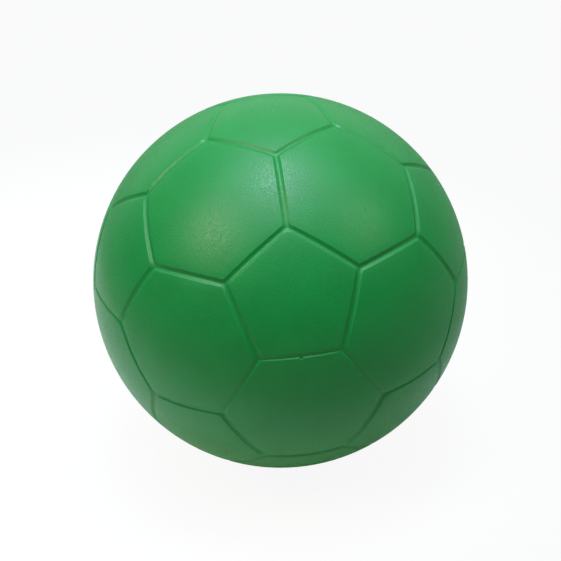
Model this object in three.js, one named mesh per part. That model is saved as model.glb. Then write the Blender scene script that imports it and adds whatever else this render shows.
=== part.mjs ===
// A moulded foam ball with football panels: a poured foam core in a coating skin of two mould halves.
// Millimetres, +Z up. The origin is on the floor, under the ball's centre.

import * as THREE from "three";

// Driving dimensions
const ballDiameter = 200; // over the panels
const grooveWidth = 4; // from shoulder to shoulder of the groove between two panels
const grooveDepth = 1; // in the middle of the groove
const skinThickness = 1.2; // coating, even over panels and grooves
const restFlatDiameter = 20; // where the foam gives under the ball's own weight
const partingGap = 0.3; // between the two skin halves
const coreGap = 0.3; // between the skin and the foam

// Fineness of the facets
const chordsPerSide = 3; // along each side of a panel
const chordsPerWall = 2; // from the middle of a groove to its shoulder
const outsideDomeSteps = 3; // from the shoulder to the middle of a panel, on the outside
const insideDomeSteps = 2; // the same on the inside of the skin and on the foam

// Finish
const skinColour = "#2c8a4b";
const skinRoughness = 0.5;
const foamColour = "#e6dfc0";
const foamRoughness = 0.95;

// Worked out from these
const ballRadius = ballDiameter / 2;
const centreHeight = Math.sqrt(ballRadius ** 2 - (restFlatDiameter / 2) ** 2);
const channelRadius = ((grooveWidth / 2) ** 2 + grooveDepth ** 2) / (2 * grooveDepth);
const channelCentre = channelRadius - grooveDepth; // height of the round groove's centre over the panels
const insideOffset = skinThickness; // how far a surface lies below the outside of the ball
const foamOffset = skinThickness + coreGap;

// Panel pattern: twelve five-sided and twenty six-sided panels, as directions from the ball's centre

const up = new THREE.Vector3(0, 0, 1);
const fifthTurn = (2 * Math.PI) / 5;
const frontTurn = -Math.PI / 2; // a five-sided panel faces the front, -Y
const ringLatitude = Math.atan(1 / 2); // of the five-sided panels next to the poles' own

// The middles of the five-sided panels: two poles and two rings of five, half a step apart.
function fiveSidedMiddles() {
  const ring = (name, latitude, firstStep) =>
    Array.from({ length: 5 }, (_, step) => ({
      name: name + step,
      direction: new THREE.Vector3(Math.cos(latitude), 0, Math.sin(latitude)).applyAxisAngle(
        up,
        frontTurn + (firstStep + step) * fifthTurn,
      ),
    }));
  return {
    top: { name: "top", direction: up.clone() },
    upper: ring("upper", ringLatitude, 0),
    lower: ring("lower", -ringLatitude, 1 / 2),
    bottom: { name: "bottom", direction: up.clone().negate() },
  };
}

// The threes of neighbouring middles that each have a six-sided panel between them, anticlockwise from outside.
function neighbouringThrees({ top, upper, lower, bottom }) {
  const threes = [];
  for (let step = 0; step < 5; step++) {
    const next = (step + 1) % 5;
    threes.push([top, upper[step], upper[next]]);
    threes.push([upper[step], lower[step], upper[next]]);
    threes.push([lower[step], lower[next], upper[next]]);
    threes.push([lower[next], lower[step], bottom]);
  }
  return threes;
}

// The neighbours of one middle, anticlockwise from outside.
function neighboursOf(middle, threes) {
  const following = new Map();
  for (const three of threes) {
    const place = three.indexOf(middle);
    if (place >= 0) following.set(three[(place + 1) % 3], three[(place + 2) % 3]);
  }
  const around = [following.keys().next().value];
  while (around.length < following.size) around.push(following.get(around.at(-1)));
  return around;
}

// All the panels, each with its corners anticlockwise from outside, its middle and its mould half.
function makePanels() {
  const middles = fiveSidedMiddles();
  const threes = neighbouringThrees(middles);
  const corners = new Map();

  // Panel corners lie a third of the way from one five-sided panel's middle to the next one's.
  function cornerNear(near, far) {
    const key = near.name + ">" + far.name;
    if (!corners.has(key)) {
      const direction = near.direction.clone().multiplyScalar(2).add(far.direction).normalize();
      corners.set(key, { key, direction, panels: [] });
    }
    return corners.get(key);
  }

  function panelOf(panelCorners) {
    const centre = new THREE.Vector3();
    for (const corner of panelCorners) centre.add(corner.direction);
    centre.normalize();
    const panel = { corners: panelCorners, centre, isUpper: centre.z > 0, isResting: false };
    for (const corner of panelCorners) corner.panels.push(panel);
    return panel;
  }

  const sixSided = threes.map(([a, b, c]) =>
    panelOf([
      cornerNear(a, b),
      cornerNear(b, a),
      cornerNear(b, c),
      cornerNear(c, b),
      cornerNear(c, a),
      cornerNear(a, c),
    ]),
  );
  const fiveSided = [middles.top, ...middles.upper, ...middles.lower, middles.bottom].map((middle) =>
    panelOf(neighboursOf(middle, threes).map((neighbour) => cornerNear(middle, neighbour))),
  );
  fiveSided.at(-1).isResting = true; // the bottom panel carries the flat
  return [...fiveSided, ...sixSided];
}

// Directions on a panel

// The direction that lies a share of the way along the great circle from one direction to another.
function between(from, to, share) {
  const angle = from.angleTo(to);
  const start = from.clone().multiplyScalar(Math.sin((1 - share) * angle));
  return start.addScaledVector(to, Math.sin(share * angle)).divideScalar(Math.sin(angle));
}

// A panel's corner moved towards its middle, until it lies a distance from both sides that meet there.
function insetCorner(panel, corner, distance) {
  const place = panel.corners.indexOf(corner);
  const next = panel.corners[(place + 1) % panel.corners.length];
  const inward = panel.centre.clone().projectOnPlane(corner.direction).normalize();
  const fromSide = corner.direction.clone().cross(next.direction).normalize();
  const shift = Math.asin(Math.sin(distance / ballRadius) / fromSide.dot(inward));
  return corner.direction.clone().multiplyScalar(Math.cos(shift)).addScaledVector(inward, Math.sin(shift));
}

// A seam corner as one mould half has it: on the parting line it draws back by half the gap.
function trimmedCorner(corner, isUpper, gap) {
  const upperPanels = corner.panels.filter((panel) => panel.isUpper);
  const lowerPanels = corner.panels.filter((panel) => !panel.isUpper);
  if (!upperPanels.length || !lowerPanels.length) return corner.direction;
  const lone = upperPanels.length === 1 ? upperPanels[0] : lowerPanels[0];
  return insetCorner(lone, corner, lone.isUpper === isUpper ? gap / 2 : -gap / 2);
}

// Each side of a ring of corners cut into chords, as pairs of a side's number and a chord's number.
function chordStarts(sides) {
  return Array.from({ length: sides * chordsPerSide }, (_, start) => ({
    side: Math.floor(start / chordsPerSide),
    chord: start % chordsPerSide,
  }));
}

// The seam round a panel. Panels of one half share these points, so each has a key that both give it.
function seamRing(panel, gap) {
  return chordStarts(panel.corners.length).map(({ side, chord }) => {
    const here = panel.corners[side];
    const next = panel.corners[(side + 1) % panel.corners.length];
    const from = trimmedCorner(here, panel.isUpper, gap);
    if (chord === 0) return { key: here.key, direction: from };
    const to = trimmedCorner(next, panel.isUpper, gap);
    const key =
      here.key < next.key
        ? [here.key, next.key, chord].join(" ")
        : [next.key, here.key, chordsPerSide - chord].join(" ");
    return { key, direction: between(from, to, chord / chordsPerSide) };
  });
}

// A ring of directions on a panel, a distance in from its seams.
function insetRing(panel, distance) {
  const corners = panel.corners.map((corner) => insetCorner(panel, corner, distance));
  return chordStarts(corners.length).map(({ side, chord }) =>
    between(corners[side], corners[(side + 1) % corners.length], chord / chordsPerSide),
  );
}

// Surfaces

// A groove's wall from its middle to its shoulder. The grooves of all surfaces are round on one centre line.
function grooveWall(offset) {
  const radius = channelRadius + offset;
  const shoulderTurn = Math.acos((channelCentre + offset) / radius);
  return Array.from({ length: chordsPerWall + 1 }, (_, step) => {
    const turn = (shoulderTurn * step) / chordsPerWall;
    return { distance: radius * Math.sin(turn), depth: radius * Math.cos(turn) - channelCentre };
  });
}

// A point at a depth below the panels, kept above the flat that the surface has at the bottom.
function surfacePoint(direction, depth, offset) {
  const point = direction.clone().multiplyScalar(ballRadius - depth);
  point.z = Math.max(point.z, offset - centreHeight);
  return point;
}

// A body's points and triangles while it is being built.
function newBody() {
  return { points: [], triangles: [], shared: new Map() };
}

function addPoint(body, point) {
  return body.points.push(point) - 1;
}

function addSharedPoint(body, key, point) {
  if (!body.shared.has(key)) body.shared.set(key, addPoint(body, point));
  return body.shared.get(key);
}

function addTriangle(body, a, b, c, facesOut) {
  body.triangles.push(...(facesOut ? [a, b, c] : [a, c, b]));
}

// Adds one panel of a surface, from its seams to its middle, and gives back the point numbers of its seam.
function addPanel(body, panel, surface) {
  const { offset, domeSteps, gap, facesOut } = surface;
  const [seamRow, ...wallRows] = grooveWall(offset);
  const seam = seamRing(panel, gap).map(({ key, direction }) =>
    addSharedPoint(body, [offset, key].join(" "), surfacePoint(direction, seamRow.depth, offset)),
  );
  const rings = [seam];
  for (const { distance, depth } of wallRows) {
    const row = insetRing(panel, distance);
    rings.push(row.map((direction) => addPoint(body, surfacePoint(direction, depth, offset))));
  }

  const shoulder = insetRing(panel, wallRows.at(-1).distance);
  const flatAngle = panel.isResting ? Math.acos((centreHeight - offset) / (ballRadius - offset)) : 0;
  const lastStep = panel.isResting ? domeSteps : domeSteps - 1;
  for (let step = 1; step <= lastStep; step++) {
    const ring = shoulder.map((direction) => {
      const domeShare = 1 - flatAngle / direction.angleTo(panel.centre);
      return between(direction, panel.centre, (domeShare * step) / domeSteps);
    });
    rings.push(ring.map((direction) => addPoint(body, surfacePoint(direction, offset, offset))));
  }

  for (let row = 1; row < rings.length; row++) {
    const outer = rings[row - 1];
    const inner = rings[row];
    outer.forEach((here, start) => {
      const next = (start + 1) % outer.length;
      addTriangle(body, here, outer[next], inner[next], facesOut);
      addTriangle(body, here, inner[next], inner[start], facesOut);
    });
  }
  const middle = addPoint(body, surfacePoint(panel.centre, offset, offset));
  const last = rings.at(-1);
  last.forEach((here, start) => {
    addTriangle(body, here, last[(start + 1) % last.length], middle, facesOut);
  });
  return seam;
}

// Tells whether the panel across a side belongs to the other mould half.
function isPartingSide(panel, side) {
  const here = panel.corners[side];
  const next = panel.corners[(side + 1) % panel.corners.length];
  const across = here.panels.find((other) => other !== panel && next.panels.includes(other));
  return across.isUpper !== panel.isUpper;
}

// Closes the wall of a skin half along the panel's parting sides.
function addPartingEdge(body, panel, outsideSeam, insideSeam) {
  chordStarts(panel.corners.length).forEach(({ side }, start) => {
    if (!isPartingSide(panel, side)) return;
    const next = (start + 1) % outsideSeam.length;
    addTriangle(body, outsideSeam[next], outsideSeam[start], insideSeam[start], true);
    addTriangle(body, outsideSeam[next], insideSeam[start], insideSeam[next], true);
  });
}

// Pieces

function meshOf(name, body, colour, roughness) {
  const geometry = new THREE.BufferGeometry().setFromPoints(body.points);
  geometry.setIndex(body.triangles);
  geometry.computeVertexNormals();
  const material = new THREE.MeshStandardMaterial({ color: colour, roughness, metalness: 0 });
  const mesh = new THREE.Mesh(geometry, material);
  mesh.name = name;
  return mesh;
}

function skinHalf(name, panels) {
  const body = newBody();
  const outside = { offset: 0, domeSteps: outsideDomeSteps, gap: partingGap, facesOut: true };
  const inside = { offset: insideOffset, domeSteps: insideDomeSteps, gap: partingGap, facesOut: false };
  for (const panel of panels) {
    const outsideSeam = addPanel(body, panel, outside);
    const insideSeam = addPanel(body, panel, inside);
    addPartingEdge(body, panel, outsideSeam, insideSeam);
  }
  return meshOf(name, body, skinColour, skinRoughness);
}

function foamCore(name, panels) {
  const body = newBody();
  const foamFace = { offset: foamOffset, domeSteps: insideDomeSteps, gap: 0, facesOut: true };
  for (const panel of panels) addPanel(body, panel, foamFace);
  return meshOf(name, body, foamColour, foamRoughness);
}

const panels = makePanels();
const aboutCentre = new THREE.Group();
aboutCentre.position.z = centreHeight;
aboutCentre.add(foamCore("foam_core", panels));
aboutCentre.add(
  skinHalf(
    "upper_skin",
    panels.filter((panel) => panel.isUpper),
  ),
);
aboutCentre.add(
  skinHalf(
    "lower_skin",
    panels.filter((panel) => !panel.isUpper),
  ),
);

const foamBall = new THREE.Group();
foamBall.name = "foam_ball";
foamBall.add(aboutCentre);

export default foamBall;
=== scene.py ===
import math

import bmesh
import bpy
from mathutils import Matrix, Quaternion, Vector


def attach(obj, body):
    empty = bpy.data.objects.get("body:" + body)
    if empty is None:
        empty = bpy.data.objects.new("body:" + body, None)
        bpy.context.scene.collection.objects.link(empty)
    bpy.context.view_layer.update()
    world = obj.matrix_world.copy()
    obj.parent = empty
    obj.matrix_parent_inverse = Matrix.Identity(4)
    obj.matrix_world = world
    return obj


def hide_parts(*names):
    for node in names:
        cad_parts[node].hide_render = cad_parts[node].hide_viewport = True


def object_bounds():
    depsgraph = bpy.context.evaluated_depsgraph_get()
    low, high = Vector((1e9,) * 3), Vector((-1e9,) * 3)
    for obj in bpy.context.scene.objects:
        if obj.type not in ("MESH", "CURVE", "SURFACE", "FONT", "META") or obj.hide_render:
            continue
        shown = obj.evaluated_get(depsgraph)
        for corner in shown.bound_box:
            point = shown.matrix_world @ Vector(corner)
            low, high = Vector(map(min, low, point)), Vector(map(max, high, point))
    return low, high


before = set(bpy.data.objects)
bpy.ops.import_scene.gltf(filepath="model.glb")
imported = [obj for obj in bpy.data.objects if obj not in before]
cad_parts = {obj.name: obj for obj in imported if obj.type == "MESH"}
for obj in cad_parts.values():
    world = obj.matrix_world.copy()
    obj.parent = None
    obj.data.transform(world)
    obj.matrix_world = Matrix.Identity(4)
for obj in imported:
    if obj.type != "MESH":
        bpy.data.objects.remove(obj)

scene = bpy.context.scene
scene.view_settings.view_transform = "Standard"
cadLow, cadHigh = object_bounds()
mm = 0.001

ball = {
    "restFlat": 20 * mm,  # across the flat that the ball rests on
    "grooveWidth": 3.9 * mm,  # at the level of the panels
    "wallSlope": math.radians(32),
    "bottomRadius": 1.8 * mm,
    "shoulder": 0.25 * mm,  # rounding where a groove meets its panels
    "partingDepth": 0.6,  # grooves on the parting line are shallower
    "lowerLip": 0.4,  # and narrower on the lower half's side
    "bottomSteps": 6,  # mesh rows up one side of a groove: round bottom, wall and shoulder
    "wallSteps": 3,
    "shoulderSteps": 3,
    "domeRings": 9,  # mesh rings from a panel's edge to its middle
    "seamCuts": 13,  # cuts along one side of a panel
    "flatRing": 3.3 * mm,  # ring of faces round the flat
    "flatSlack": 0.001 * mm,  # points this near the flat count as on it
}
flatRadius = ball["restFlat"] / 2
ballRadius = (cadHigh.z ** 2 + flatRadius ** 2) / (2 * cadHigh.z)  # of a ball this high on its flat
centreHeight = cadHigh.z - ballRadius
print("ball radius", round(ballRadius, 5), "centre at", round(centreHeight, 5))

# Camera, from the panel corners seen in the photo
shot = {
    "azimuth": -4.15,
    "elevation": 32.05,
    "roll": -4.42,  # the ball's axis leans left in the picture
    "distance": 0.85,
    "lens": 101.46,
    "sensor": 36,
}


def makeCamera():
    turn = math.radians(shot["azimuth"])
    lift = math.radians(shot["elevation"])
    back = Vector((math.sin(turn) * math.cos(lift), -math.cos(turn) * math.cos(lift), math.sin(lift)))
    aim = (-back).to_track_quat("-Z", "Y") @ Quaternion((0, 0, 1), math.radians(shot["roll"]))
    lensData = bpy.data.cameras.new("camera")
    lensData.lens = shot["lens"]
    lensData.sensor_width = shot["sensor"]
    camera = bpy.data.objects.new("camera", lensData)
    camera.rotation_mode = "QUATERNION"
    camera.rotation_quaternion = aim
    camera.location = Vector((0, 0, centreHeight)) + back * shot["distance"]
    scene.collection.objects.link(camera)
    scene.camera = camera


makeCamera()
print("camera set")


# Panels and grooves

def grooveRows(offset):
    # (distance from the seam, depth under the panels), from the groove's bottom to the panel's edge
    slope = ball["wallSlope"]
    bottom = ball["bottomRadius"] + offset
    shoulder = max(ball["shoulder"] - offset, 0)
    edge = ball["grooveWidth"] / 2 + offset * math.tan(slope / 2)  # wall and panel would meet here
    depth = offset + (edge - bottom * math.sin(slope)) * math.tan(slope) + bottom * (1 - math.cos(slope))
    rows = []
    for step in range(ball["bottomSteps"] + 1):
        turn = slope * step / ball["bottomSteps"]
        rows.append((bottom * math.sin(turn), depth - bottom * (1 - math.cos(turn))))
    wallFoot = rows[-1]
    reach = shoulder * math.tan(slope / 2)  # the rounding starts and ends this far from the edge
    wallTop = (edge - reach * math.cos(slope), offset + shoulder * (1 - math.cos(slope)))
    for step in range(1, ball["wallSteps"] + 1):
        share = step / ball["wallSteps"]
        rows.append(tuple(foot + (top - foot) * share for foot, top in zip(wallFoot, wallTop)))
    shoulderSteps = ball["shoulderSteps"] if shoulder else 0
    for step in range(1, shoulderSteps + 1):
        turn = slope * (1 - step / shoulderSteps)
        rows.append((edge + reach - shoulder * math.sin(turn), offset + shoulder * (1 - math.cos(turn))))
    return rows


def setRing(panels, layers, row, depth):
    for panel in panels:
        for corner in panel.verts:
            corner[layers["row"]] = row
            corner[layers["depth"]] = depth


def insetPanels(bm, sides, layers, offset):
    panels = [face for face in bm.faces if len(face.verts) == sides]
    middle = panels[0].calc_center_median()
    seamMiddle = (panels[0].verts[0].co + panels[0].verts[1].co) / 2
    apothem = (seamMiddle - middle).length
    seamAngle = math.atan2(apothem, middle.length)
    rows = grooveRows(offset)
    done = 0
    for row, (distance, depth) in enumerate(rows):
        inset = apothem - middle.length * math.tan(seamAngle - distance / ballRadius)
        if row:
            bmesh.ops.inset_individual(bm, faces=panels, thickness=inset - done, use_even_offset=True)
        setRing(panels, layers, row, depth)
        done = inset
    ringStep = (apothem - done) / ball["domeRings"]
    for ring in range(1, ball["domeRings"]):
        bmesh.ops.inset_individual(bm, faces=panels, thickness=ringStep, use_even_offset=True)
        setRing(panels, layers, len(rows) + ring, offset)


def panelSurface(offset, half):
    # the ball's surface, this far under its outside: half is 1 for the upper, -1 for the lower, 0 for all
    bm = bmesh.new()
    frontTurn = Matrix.Rotation(math.radians(-90), 4, "Z")  # a five-sided panel faces the front
    bmesh.ops.create_icosphere(bm, subdivisions=1, radius=ballRadius, matrix=frontTurn)
    bmesh.ops.bevel(bm, geom=bm.verts[:], offset=100 / 3, offset_type="PERCENT", affect="VERTICES",
                    segments=1, profile=0.5, material=-1)  # a third off every edge: 12 fives and 20 sixes
    parting, others = sortSeams(bm)
    otherHalf = [face for face in bm.faces if face.calc_center_median().z * half < 0]
    bmesh.ops.delete(bm, geom=otherHalf, context="FACES")
    layers = {name: bm.verts.layers.float.new(name) for name in ("row", "depth")}
    for sides in (5, 6):
        insetPanels(bm, sides, layers, offset)
    rowLayer = layers["row"]
    ringEdges = [edge for edge in bm.edges if edge.verts[0][rowLayer] == edge.verts[1][rowLayer]]
    bmesh.ops.subdivide_edges(bm, edges=ringEdges, cuts=ball["seamCuts"])
    middles = [face for face in bm.faces if len(face.verts) > 4]
    for peak in bmesh.ops.poke(bm, faces=middles)["verts"]:
        peak[layers["depth"]] = offset
    if not offset:
        if half < 0:
            refineVent(bm)
        shapeParting(bm, half, layers["depth"], parting, others)
        if half < 0:
            cutVent(bm, layers["depth"])
    for point in bm.verts:
        point.co = point.co.normalized() * (ballRadius - point[layers["depth"]])
        point.co.z += centreHeight
    for face in bm.faces:
        face.smooth = True
    for name in layers:
        bm.verts.layers.float.remove(bm.verts.layers.float[name])
    restOnFloor(bm, offset)
    return bm


def sortSeams(bm):
    # the seams' ends, on the parting line and elsewhere
    parting = []
    others = []
    for edge in bm.edges:
        ends = [point.co.normalized() * ballRadius for point in edge.verts]
        heights = [face.calc_center_median().z for face in edge.link_faces]
        if min(heights) < 0 < max(heights):
            parting.append(ends)
        else:
            others.append(ends)
    return parting, others


def seamDistance(place, seams):
    distances = []
    for start, end in seams:
        along = (place - start).dot(end - start) / (end - start).length_squared
        foot = start.lerp(end, min(max(along, 0), 1)).normalized() * ballRadius
        distances.append((place - foot).length)
    return min(distances)


def depthAt(distance, rows):
    for (nearPlace, nearDepth), (farPlace, farDepth) in zip(rows, rows[1:]):
        if distance < farPlace:
            return nearDepth + (farDepth - nearDepth) * (distance - nearPlace) / (farPlace - nearPlace)
    return 0


def shapeParting(bm, half, depthLayer, parting, others):
    rows = grooveRows(0)
    lip = ball["lowerLip"] if half < 0 else 1
    for point in bm.verts:
        place = point.co.normalized() * ballRadius
        away = seamDistance(place, parting) if point[depthLayer] > 0 else math.inf
        if away < rows[-1][0]:
            lipDepth = ball["partingDepth"] * depthAt(away / lip, rows)
            point[depthLayer] = max(lipDepth, depthAt(seamDistance(place, others), rows))


vent = {  # the mould's vent left a small notch in the lower edge of the front seam
    "radius": 1 * mm,
    "depth": 0.75 * mm,
    "underSeam": 0.6 * mm,
    "meshReach": (7 * mm, 2.2 * mm),  # the mesh gets finer this far round it, in two goes
    "meshCuts": 3,
}


def ventCentre(bm):
    rim = [point for point in bm.verts if point.is_boundary]
    seam = min(rim, key=lambda point: point.co.y + abs(point.co.x))  # middle of the frontmost seam
    return Matrix.Rotation(vent["underSeam"] / ballRadius, 3, "X") @ seam.co.normalized() * ballRadius


def ventDistance(point, centre):
    return (point.co.normalized() * ballRadius - centre).length


def refineVent(bm):
    centre = ventCentre(bm)
    for reach in vent["meshReach"]:
        inside = {point for point in bm.verts if ventDistance(point, centre) < reach}
        near = [edge for edge in bm.edges if inside.issuperset(edge.verts)]
        bmesh.ops.subdivide_edges(bm, edges=near, cuts=vent["meshCuts"], use_grid_fill=True)


def cutVent(bm, depthLayer):
    centre = ventCentre(bm)
    for point in bm.verts:
        share = ventDistance(point, centre) / vent["radius"]
        if share < 1:
            point[depthLayer] = max(point[depthLayer], vent["depth"] * math.sqrt(1 - share ** 2))


def restOnFloor(bm, height):
    everything = bm.verts[:] + bm.edges[:] + bm.faces[:]
    cut = bmesh.ops.bisect_plane(bm, geom=everything, dist=ball["flatSlack"], plane_co=(0, 0, height),
                                 plane_no=(0, 0, -1), clear_outer=True)
    rim = [item for item in cut["geom_cut"] if isinstance(item, bmesh.types.BMEdge)]
    if rim:
        flat = bmesh.ops.contextual_create(bm, geom=rim)["faces"]
        bmesh.ops.inset_individual(bm, faces=flat, thickness=ball["flatRing"], use_even_offset=True)
        bmesh.ops.poke(bm, faces=flat)
        for edge in rim:
            edge.smooth = False


def addPiece(name, bm, material, node):
    bmesh.ops.recalc_face_normals(bm, faces=bm.faces[:])
    mesh = bpy.data.meshes.new(name)
    bm.to_mesh(mesh)
    bm.free()
    mesh.materials.append(material)
    piece = bpy.data.objects.new(name, mesh)
    scene.collection.objects.link(piece)
    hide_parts(node)
    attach(piece, "root")
    print(name, len(mesh.vertices), "points", len(mesh.polygons), "faces")
    return piece


# Materials

def newMaterial(name):
    material = bpy.data.materials.new(name)
    material.use_nodes = True
    nodes = material.node_tree.nodes
    return material, nodes, material.node_tree.links, nodes["Principled BSDF"]


def addTexture(nodes, links, kind, coords, **settings):
    texture = nodes.new(kind)
    for name, value in settings.items():
        texture.inputs[name].default_value = value
    links.new(coords.outputs["Object"], texture.inputs["Vector"])
    return texture


def addBump(nodes, links, height, distance, strength):
    bump = nodes.new("ShaderNodeBump")
    bump.inputs["Distance"].default_value = distance
    bump.inputs["Strength"].default_value = strength
    links.new(height, bump.inputs["Height"])
    return bump


def addRamp(nodes, links, value, stops):
    ramp = nodes.new("ShaderNodeValToRGB")
    for stop, (place, colour) in zip(ramp.color_ramp.elements, stops):
        stop.position = place
        stop.color = (*colour, 1)
    links.new(value, ramp.inputs["Fac"])
    return ramp


skin = {
    "thickness": 1.2 * mm,
    "green": (0.0065, 0.25, 0.0435),
    "deepGreen": (0.006, 0.235, 0.0405),
    "speck": (0.3, 0.42, 0.25),  # a few pale specks
    "speckSize": 0.4 * mm,
    "speckSpacing": 25 * mm,
    "cloudSize": 17 * mm,  # of the drift between the two greens
    "cloudRange": (0.35, 0.65),
    "cloudNoise": {"Detail": 3, "Roughness": 0.5},  # octaves of finer noise, and their share
    "roughLow": 0.24,
    "roughHigh": 0.6,
    "gloss": 0.36,  # specular level
    "grainSize": 0.75 * mm,
    "grainHeight": 0.1 * mm,
    "grainRange": (0.3, 0.7),  # from the glossiest of the grain to the dullest
    "grainNoise": {"Detail": 2, "Roughness": 0.6},
    "grainStrength": 1,
}


def skinMaterial():
    material, nodes, links, shader = newMaterial("greenSkin")
    coords = nodes.new("ShaderNodeTexCoord")
    grain = addTexture(nodes, links, "ShaderNodeTexNoise", coords,
                       Scale=1 / skin["grainSize"], **skin["grainNoise"])
    cloud = addTexture(nodes, links, "ShaderNodeTexNoise", coords,
                       Scale=1 / skin["cloudSize"], **skin["cloudNoise"])
    shades = zip(skin["cloudRange"], (skin["deepGreen"], skin["green"]))
    greens = addRamp(nodes, links, cloud.outputs["Fac"], shades)
    dots = addTexture(nodes, links, "ShaderNodeTexVoronoi", coords, Scale=1 / skin["speckSpacing"])
    speckEdge = skin["speckSize"] / skin["speckSpacing"]
    inAndOut = [(speckEdge / 2, (1, 1, 1)), (speckEdge, (0, 0, 0))]
    dotted = addRamp(nodes, links, dots.outputs["Distance"], inAndOut)
    colours = nodes.new("ShaderNodeMix")
    colours.data_type = "RGBA"
    links.new(dotted.outputs["Color"], colours.inputs["Factor"])
    links.new(greens.outputs["Color"], colours.inputs["A"])
    colours.inputs["B"].default_value = (*skin["speck"], 1)
    links.new(colours.outputs["Result"], shader.inputs["Base Color"])
    sheen = nodes.new("ShaderNodeMapRange")
    glossiest, dullest = skin["grainRange"]
    sheen.inputs["From Min"].default_value = glossiest
    sheen.inputs["From Max"].default_value = dullest
    sheen.inputs["To Min"].default_value = skin["roughLow"]
    sheen.inputs["To Max"].default_value = skin["roughHigh"]
    links.new(grain.outputs["Fac"], sheen.inputs["Value"])
    links.new(sheen.outputs["Result"], shader.inputs["Roughness"])
    shader.inputs["Specular IOR Level"].default_value = skin["gloss"]
    relief = addBump(nodes, links, grain.outputs["Fac"], skin["grainHeight"], skin["grainStrength"])
    links.new(relief.outputs["Normal"], shader.inputs["Normal"])
    return material


foam = {
    "bondGap": 0.3 * mm,  # between the core and its skin, as in the frame
    "cream": (0.79, 0.74, 0.53),
    # darker cream painted in the pores' hollows as shade
    "paintedPoreShade": (0.55, 0.49, 0.31),
    "poreSize": 2.2 * mm,
    "poreDepth": 0.4 * mm,
    "poreRange": (0.1, 0.5),  # from a pore's middle to its rim
    "poreRelief": 0.8,
    "rough": 0.95,
}


def foamMaterial():
    material, nodes, links, shader = newMaterial("creamFoam")
    coords = nodes.new("ShaderNodeTexCoord")
    pores = addTexture(nodes, links, "ShaderNodeTexVoronoi", coords, Scale=1 / foam["poreSize"])
    # pores darken towards their middles: painted shade in the hollows
    shades = zip(foam["poreRange"], (foam["paintedPoreShade"], foam["cream"]))
    creams = addRamp(nodes, links, pores.outputs["Distance"], shades)
    links.new(creams.outputs["Color"], shader.inputs["Base Color"])
    shader.inputs["Roughness"].default_value = foam["rough"]
    relief = addBump(nodes, links, pores.outputs["Distance"], foam["poreDepth"], foam["poreRelief"])
    links.new(relief.outputs["Normal"], shader.inputs["Normal"])
    return material


# Pieces

def skinHalf(name, node, half, material):
    bm = panelSurface(0, half)
    inside = panelSurface(skin["thickness"], half)
    bmesh.ops.reverse_faces(inside, faces=inside.faces[:])
    insideMesh = bpy.data.meshes.new("inside")
    inside.to_mesh(insideMesh)
    inside.free()
    bm.from_mesh(insideMesh)
    bpy.data.meshes.remove(insideMesh)
    rims = [edge for edge in bm.edges if edge.is_boundary]
    for edge in rims:
        edge.smooth = False
    bmesh.ops.bridge_loops(bm, edges=rims)
    addPiece(name, bm, material, node)


greenSkin = skinMaterial()
skinHalf("upper_skin_shell", "upper_skin", 1, greenSkin)
skinHalf("lower_skin_shell", "lower_skin", -1, greenSkin)
coreSurface = panelSurface(skin["thickness"] + foam["bondGap"], 0)
core = addPiece("foam_core_body", coreSurface, foamMaterial(), "foam_core")

# Studio: a pale floor with a painted pool of light and painted shade in its colour, a pale backdrop and
# soft lamps
studio = {
    "floorSize": 16,
    "floorDrop": 0.1 * mm,  # clear of the ball's flat
    "paintedLightPool": (0.74, 0.88, 0.74),  # painted pool of light, palest beside the ball, green-tinted as painted light bounced off the ball
    "paintedFarShade": (0.25, 0.345, 0.25),  # and darker further out, as painted shade
    "lightPoolMiddle": (-0.11, 0.08, 0),
    "lightPoolFade": (0.19, 0.33),  # metres from the painted pool's middle
    "whiteShare": {  # plain white to these rays, and the rest takes light and shadow
        "Is Camera Ray": 0.92,
        "Is Glossy Ray": 0.05,
        "Is Transmission Ray": 0.05,
    },
    "paleSide": (0.2, 1, 0.05),  # where the surroundings are palest, behind the ball
    "paleLevel": 0.9,
    "paleStart": 0.3,  # from here round to the pale side the surroundings get lighter
    "paleEnd": 1,
}
lamps = {  # level 1 shows a colour about as written where it faces the lamp
    "softBox": {"from": (0.02, 0.02, 1), "distance": 2.2, "size": 2.4,
                "level": 0.81, "colour": (0.95, 1, 1.3)},
    "topLamp": {"from": (0.03, 0.04, 1), "distance": 2, "size": 0.6,  # under the soft box
                "level": 0.45, "colour": (1, 1, 1.4)},
    "leftLamp": {"from": (-0.6, -0.24, 0.76), "distance": 2.4, "size": 0.9,
                 "level": 0.52, "colour": (1, 0.75, 0.7)},
    "rimLamp": {"from": (-0.6, 0.77, 0.2), "distance": 2.4, "size": 1.6,
                "level": 0.04, "colour": (1, 1, 1)},
    "rightLamp": {"from": (0.72, -0.2, 0.66), "distance": 2.4, "size": 0.9,
                  "level": 0.22, "colour": (1.05, 0.92, 0.86)},
}


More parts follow.
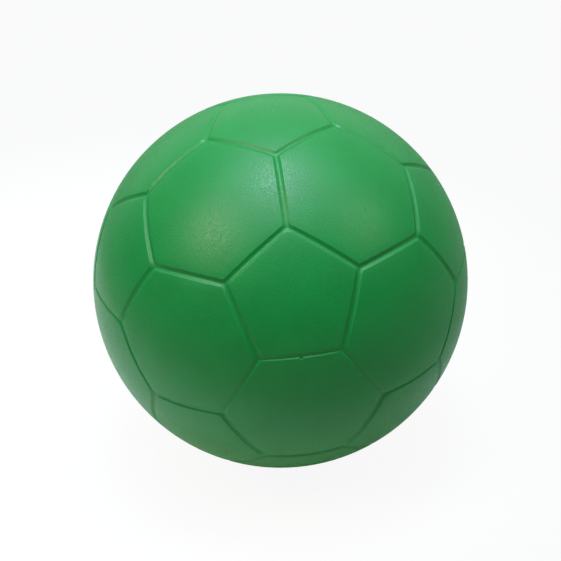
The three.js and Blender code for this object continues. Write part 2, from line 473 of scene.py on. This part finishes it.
def makeFloor():
    material, nodes, links, shader = newMaterial("paleFloor")
    coords = nodes.new("ShaderNodeTexCoord")
    away = nodes.new("ShaderNodeVectorMath")
    away.operation = "DISTANCE"
    away.inputs[1].default_value = studio["lightPoolMiddle"]
    links.new(coords.outputs["Object"], away.inputs[0])
    # the floor's colour fades from a painted pool of light beside the ball to painted shade further out
    shades = zip(studio["lightPoolFade"], (studio["paintedLightPool"], studio["paintedFarShade"]))
    fade = addRamp(nodes, links, away.outputs["Value"], shades)
    links.new(fade.outputs["Color"], shader.inputs["Base Color"])
    shader.inputs["Roughness"].default_value = 1
    shader.inputs["Specular IOR Level"].default_value = 0
    path = nodes.new("ShaderNodeLightPath")
    seen = None
    for ray, share in studio["whiteShare"].items():
        part = nodes.new("ShaderNodeMath")
        part.operation = "MULTIPLY_ADD"
        links.new(path.outputs[ray], part.inputs[0])
        part.inputs[1].default_value = share
        part.inputs[2].default_value = 0
        if seen:
            links.new(seen, part.inputs[2])
        seen = part.outputs["Value"]
    white = nodes.new("ShaderNodeEmission")
    mix = nodes.new("ShaderNodeMixShader")
    links.new(seen, mix.inputs["Fac"])
    links.new(shader.outputs["BSDF"], mix.inputs[1])
    links.new(white.outputs["Emission"], mix.inputs[2])
    links.new(mix.outputs["Shader"], nodes["Material Output"].inputs["Surface"])
    bm = bmesh.new()
    drop = Matrix.Translation((0, 0, -studio["floorDrop"]))
    bmesh.ops.create_grid(bm, x_segments=1, y_segments=1, size=studio["floorSize"] / 2, matrix=drop)
    mesh = bpy.data.meshes.new("floor")
    bm.to_mesh(mesh)
    bm.free()
    mesh.materials.append(material)
    floor = bpy.data.objects.new("floor", mesh)
    scene.collection.objects.link(floor)


def makeWorld():
    world = bpy.data.worlds.new("studio")
    world.use_nodes = True
    scene.world = world
    nodes = world.node_tree.nodes
    links = world.node_tree.links
    coords = nodes.new("ShaderNodeTexCoord")
    side = nodes.new("ShaderNodeVectorMath")
    side.operation = "DOT_PRODUCT"
    side.inputs[1].default_value = studio["paleSide"]
    links.new(coords.outputs["Generated"], side.inputs[0])
    strength = nodes.new("ShaderNodeMapRange")
    strength.inputs["From Min"].default_value = studio["paleStart"]
    strength.inputs["From Max"].default_value = studio["paleEnd"]
    strength.inputs["To Max"].default_value = studio["paleLevel"]
    links.new(side.outputs["Value"], strength.inputs["Value"])
    background = nodes["Background"]
    background.inputs["Color"].default_value = (1, 1, 1, 1)
    links.new(strength.outputs["Result"], background.inputs["Strength"])


def makeLamps():
    aim = Vector((0, 0, centreHeight))
    for name, lamp in lamps.items():
        lampData = bpy.data.lights.new(name, "AREA")
        lampData.size = lamp["size"]
        lampData.energy = lamp["level"] * (math.pi * lamp["distance"]) ** 2
        lampData.color = lamp["colour"]
        away = Vector(lamp["from"]).normalized()
        lampObject = bpy.data.objects.new(name, lampData)
        lampObject.location = aim + away * lamp["distance"]
        lampObject.rotation_euler = (-away).to_track_quat("-Z", "Y").to_euler()
        scene.collection.objects.link(lampObject)


makeFloor()
makeWorld()
makeLamps()
print("studio set")
